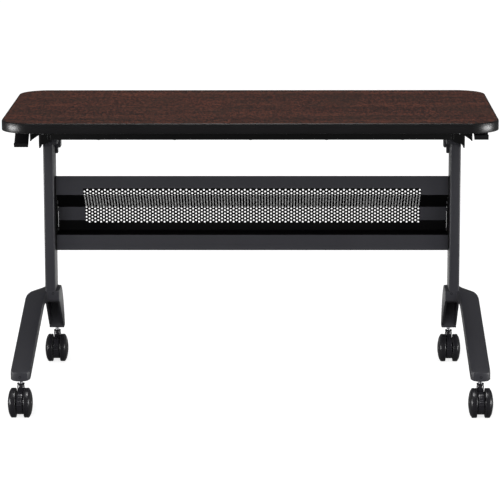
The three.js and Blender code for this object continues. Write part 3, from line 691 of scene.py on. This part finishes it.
def makePedal(place):
    node = f"brake_pedal_{place}"
    middleX = centre(node)[0]
    axleY, axleZ = centre(f"caster_wheel_a_{place}")[1:]
    steps = pedal["turnSteps"]
    wide = pedal["acrossSteps"] + 1
    ribsFrom, ribsTo = pedal["ribsFrom"], pedal["ribsTo"]
    outer, inner = [], []
    for i in range(steps + 1):
        t = i / steps
        turn = math.radians(pedal["start"] + pedal["sweep"] * t)
        tip = math.sqrt(1 - (1 - min(1, t / pedal["tip"])) ** 2)
        half = pedal["half"] * (pedal["tipWidth"] + (1 - pedal["tipWidth"]) * tip)
        rise = min(1, pedal["tipHeight"] + pedal["tipRise"] * t) * (pedal["body"] - pedal["inner"])
        wave = math.sin((t - ribsFrom) / (ribsTo - ribsFrom) * pedal["ribs"] * 2 * math.pi)
        rib = pedal["rib"] * max(0, wave) if ribsFrom < t < ribsTo else 0
        lipShare = max(0, (t - pedal["lipFrom"]) / (1 - pedal["lipFrom"])) ** pedal["lipCurve"]
        lip = lipShare * (pedal["lip"] - pedal["body"])
        for k in range(wide):
            across = 2 * k / (wide - 1) - 1
            edge = 1 - abs(across) ** pedal["edgePower"]
            reach = pedal["inner"] + rise * (pedal["edgeHeight"] + (1 - pedal["edgeHeight"]) * edge)
            reach += lip * (pedal["lipEdge"] + (1 - pedal["lipEdge"]) * edge)
            if abs(across) < pedal["ribReach"]:
                reach += rib
            for radius, points in ((reach, outer), (pedal["inner"], inner)):
                y = axleY + math.cos(turn) * radius * mm
                z = axleZ + math.sin(turn) * radius * mm
                points.append((middleX + across * half * mm, y, z))
    back = len(outer)  # the inner points follow the outer ones
    faces = []
    for i in range(steps):
        for k in range(wide - 1):
            a = i * wide + k
            b = back + a
            faces.append((a, a + 1, a + wide + 1, a + wide))
            faces.append((b, b + wide, b + wide + 1, b + 1))
        for a in (i * wide, i * wide + wide - 1):
            faces.append((a, a + wide, back + a + wide, back + a))
    for first in (0, steps * wide):
        for a in range(first, first + wide - 1):
            faces.append((a, a + 1, back + a + 1, back + a))
    mesh = meshFrom("ribbedPedal", outer + inner, faces)
    addPiece(f"pedal_{place}", mesh, f"pedal_{place}", "hood", [node])


for place in ("front_left", "rear_left", "front_right", "rear_right"):
    makeWheel(place, "a")
    makeWheel(place, "b")
    makeHood(place)
    makePedal(place)
print("casters made")


# one small shape copied by nodes to a list of places, turned to a plain mesh
def copiesAt(name, shape, places, slot, body):
    unit = linked(name + "Unit", meshFrom(name + "Unit", *shape))
    unit.data.materials.append(finishes[slot])
    spots = linked(name + "Spots", rawMesh(name + "Spots", places, []))
    tree, inputs = newTree(name + "Copies", {"Size": 1.0})
    new = tree.nodes.new
    start, copies = new("NodeGroupInput"), new("GeometryNodeInstanceOnPoints")
    real, paint = new("GeometryNodeRealizeInstances"), new("GeometryNodeSetMaterial")
    chain = [start, copies, real, paint, new("NodeGroupOutput")]
    for before, after in zip(chain, chain[1:]):
        tree.links.new(before.outputs[0], after.inputs[0])
    source = new("GeometryNodeObjectInfo")
    source.inputs["Object"].default_value = unit
    tree.links.new(source.outputs["Geometry"], copies.inputs["Instance"])
    tree.links.new(start.outputs["Size"], copies.inputs["Scale"])
    paint.inputs["Material"].default_value = finishes[slot]
    mesh = runTree(spots, tree, inputs, name)
    bpy.data.objects.remove(unit)
    addPiece(name, mesh, body, slot)


# pan heads under the top, with a round recess in each; they point down from their seats
def makeTopScrews():
    screw = dict(
        steps=24, head=[(0, 0), (0, 4.6), (0.5, 4.9), (1.4, 4.6), (2.1, 3.9), (2.6, 2.9), (2.75, 2.4)],
        recess=[(1.5, 1.5), (1.4, 0)], plate=3.0, sideEdge=10, backEdge=7,
        bracketShares=(0.14, 0.5, 0.86), railStep=190, railSteps=2)
    shape = turned(screw["head"] + screw["recess"], screw["steps"], lambda z, x, y: (x, y, -z))
    places = []
    for side in ("left", "right"):
        sign = 1 if side == "right" else -1
        low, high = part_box(f"flip_bracket_{side}")
        x = max(abs(low[0]), abs(high[0])) - screw["sideEdge"] * mm
        z = high[2] - screw["plate"] * mm
        for share in screw["bracketShares"]:
            places.append((sign * x, low[1] + share * (high[1] - low[1]), z))
        low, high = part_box(f"release_bracket_{side}")
        x = min(abs(low[0]), abs(high[0])) + screw["sideEdge"] * mm
        z = high[2] - screw["plate"] * mm
        places.append((sign * x, high[1] - screw["backEdge"] * mm, z))
    railY = centre("cross_rail")[1]
    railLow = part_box("cross_rail")[0][2]
    for i in range(-screw["railSteps"], screw["railSteps"] + 1):
        places.append((i * screw["railStep"] * mm, railY, railLow))
    copiesAt("topScrews", shape, places, "zinc", "top")


# small dark plugs in the feet: one in each nose and one at each hub
def makeFootPlugs():
    plug = dict(
        steps=24, noseRise=10.5, hubDrop=6.5, hubInward=7.0,
        profile=[(-1.0, 0), (-1.0, 3.1), (0.0, 3.1), (0.45, 2.7), (0.5, 2.2), (-0.6, 1.9), (-0.6, 0)])
    shape = turned(plug["profile"], plug["steps"], lambda y, x, z: (x, -y, z))
    places = []
    for side in ("left", "right"):
        inward = -1 if side == "right" else 1
        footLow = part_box(f"foot_{side}")[0]
        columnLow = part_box(f"column_{side}")[0]
        noseX = centre(f"caster_stem_front_{side}")[0]
        hubX = centre(f"column_{side}")[0] + inward * plug["hubInward"] * mm
        places.append((noseX, footLow[1], footLow[2] + plug["noseRise"] * mm))
        places.append((hubX, columnLow[1], columnLow[2] - plug["hubDrop"] * mm))
    copiesAt("footPlugs", shape, places, "black_steel", "base")


makeTopScrews()
makeFootPlugs()
print("screws and plugs copied")


# pale floor: white to the camera apart from a faint shadow, and dull to everything else
def makeFloor():
    paper = dict(half=12.0, litGrey=0.5, dullGrey=0.10, glow=0.75, mirrorGlow=0.08, roughness=0.9)
    half = paper["half"]
    corners = [(-half, -half, 0), (half, -half, 0), (half, half, 0), (-half, half, 0)]
    mesh = rawMesh("floor", corners, [(0, 1, 2, 3)])
    floor = linked("floor", mesh)
    material = bpy.data.materials.new("paleFloor")
    material.use_nodes = True
    tree = material.node_tree
    start = Wire(tree, None)
    rays = start.node("ShaderNodeLightPath").socket.node.outputs
    seen = Wire(tree, rays["Is Camera Ray"])
    mirrored = Wire(tree, rays["Is Glossy Ray"])

    def matt(grey):
        colour = (grey, grey, grey, 1)
        return start.node("ShaderNodeBsdfDiffuse", None, Color=colour, Roughness=paper["roughness"])

    dull, lit = matt(paper["dullGrey"]), matt(paper["litGrey"])
    sheet = start.node("ShaderNodeMixShader", None, i0=seen, i1=dull, i2=lit)
    glow = start.node("ShaderNodeEmission", None, Color=seen * paper["glow"] + mirrored * paper["mirrorGlow"])
    whole = start.node("ShaderNodeAddShader", None, i0=sheet, i1=glow)
    tree.links.new(whole.socket, tree.nodes["Material Output"].inputs["Surface"])
    mesh.materials.append(material)


# white to the camera, a softer light to the table, and dark in its gloss
def makeWorld():
    sky = dict(light=0.6, mirror=0.10)
    world = bpy.data.worlds.new("studio")
    bpy.context.scene.world = world
    world.use_nodes = True
    tree = world.node_tree
    rays = Wire(tree, None).node("ShaderNodeLightPath").socket.node.outputs
    seen = Wire(tree, rays["Is Camera Ray"])
    mirrored = Wire(tree, rays["Is Glossy Ray"])
    grey = seen * (1 - sky["light"]) + mirrored * (sky["mirror"] - sky["light"]) + sky["light"]
    tree.links.new(grey.socket, tree.nodes["Background"].inputs["Color"])


# soft boxes: some only light the table, the others only show in its gloss
def makeLights():
    boxes = [
        dict(name="keyBox", at=(-1.4, -5.0, 1.75), aim=(0, 0, 0.45), size=(2.4, 2.4), power=88, glint=False),
        dict(name="fillBox", at=(2.4, -4.6, 1.2), aim=(0, 0, 0.4), size=(2.0, 2.0), power=42, glint=False),
        dict(name="backBox", at=(0.5, 3.4, 2.6), aim=(0, 0, 0.6), size=(2.2, 2.2), power=25, glint=False),
        dict(name="leftStrip", at=(-3, -1, 0.35), aim=(0, -0.2, 0.6), size=(1.6, 0.6), power=75, glint=True),
        dict(name="rightStrip", at=(3, -1, 0.35), aim=(0, -0.2, 0.6), size=(1.6, 0.6), power=75, glint=True),
        dict(name="overheadBox", at=(0, -0.9, 3.2), aim=(0, -0.9, 0), size=(1.2, 1.2), power=60, glint=True),
        dict(name="sweepBox", at=(0, 2.4, 0.01), aim=(0, 2.4, 1), size=(3.0, 3.0), power=28, glint=True),
    ]
    for box in boxes:
        data = bpy.data.lights.new(box["name"], "AREA")
        data.shape = "RECTANGLE"
        data.size, data.size_y = box["size"]
        data.energy = box["power"]
        lamp = linked(box["name"], data)
        lamp.location = box["at"]
        ahead = Vector(box["aim"]) - Vector(box["at"])
        lamp.rotation_euler = ahead.to_track_quat("-Z", "Y").to_euler()
        lamp.visible_glossy = box["glint"]
        lamp.visible_diffuse = not box["glint"]
        lamp.visible_camera = False


# the camera that was solved from the photo: metres, and radians for its turns
def makeCamera():
    shot = dict(
        place=(0.074, -6.7815, 1.6902), pitch=0.1931, yaw=-0.0114, roll=-0.0021,
        focalPixels=2696.6, frameSide=500, sensor=36, farClip=60)
    data = bpy.data.cameras.new("photoCamera")
    data.sensor_width = shot["sensor"]
    data.lens = shot["focalPixels"] / shot["frameSide"] * shot["sensor"]
    data.clip_end = shot["farClip"]
    pitch, yaw, roll = shot["pitch"], shot["yaw"], shot["roll"]
    ahead = Vector((math.sin(yaw) * math.cos(pitch), math.cos(yaw) * math.cos(pitch), -math.sin(pitch)))
    right = Vector((math.cos(yaw), -math.sin(yaw), 0))
    up = right.cross(ahead)
    across = right * math.cos(roll) + up * math.sin(roll)
    above = up * math.cos(roll) - right * math.sin(roll)
    turn = Matrix((across, above, -ahead)).transposed().to_4x4()
    camera = linked("photoCamera", data)
    camera.matrix_world = Matrix.Translation(shot["place"]) @ turn
    bpy.context.scene.camera = camera
    bpy.context.scene.view_settings.view_transform = "Standard"


makeFloor()
makeWorld()
makeLights()
makeCamera()
print("studio and camera set")
